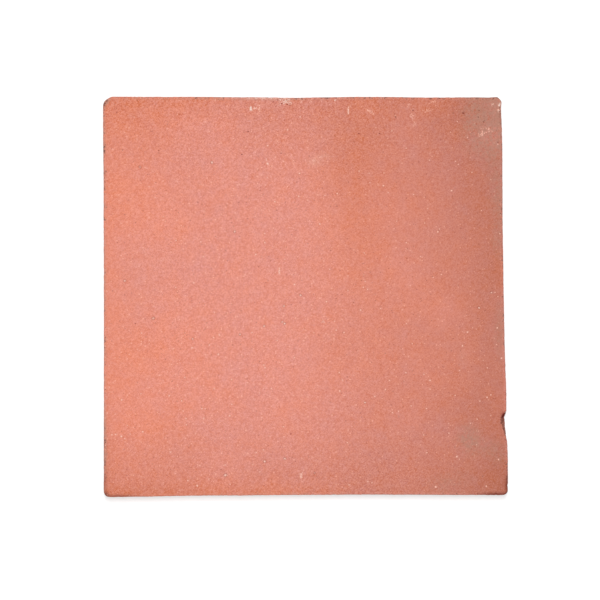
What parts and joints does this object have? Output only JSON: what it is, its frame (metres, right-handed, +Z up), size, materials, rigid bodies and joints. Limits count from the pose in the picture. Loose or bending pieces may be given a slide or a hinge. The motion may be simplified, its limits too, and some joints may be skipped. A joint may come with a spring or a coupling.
{
  "type": "terracotta floor tile",
  "caption": "Square unglazed terracotta floor tile, a little out of square from firing, with worn corners and arrises and a chipped edge; it is laid flat on a bed as flooring.",
  "frame": {"origin": "centre of the bedding face, the flat underside that lies on the floor", "axes": "+Z up, out of the wear face; +X along the front edge to the right; +Y from the front edge to the back edge"},
  "size_m": [0.202, 0.2, 0.02],
  "materials": {
    "terracotta": "matte unglazed fired clay, salmon to orange, with lime specks, small pits and grey-brown dirt at the edges"
  },
  "bodies": {
    "root": {"tile": "terracotta"}
  },
  "joints": []
}
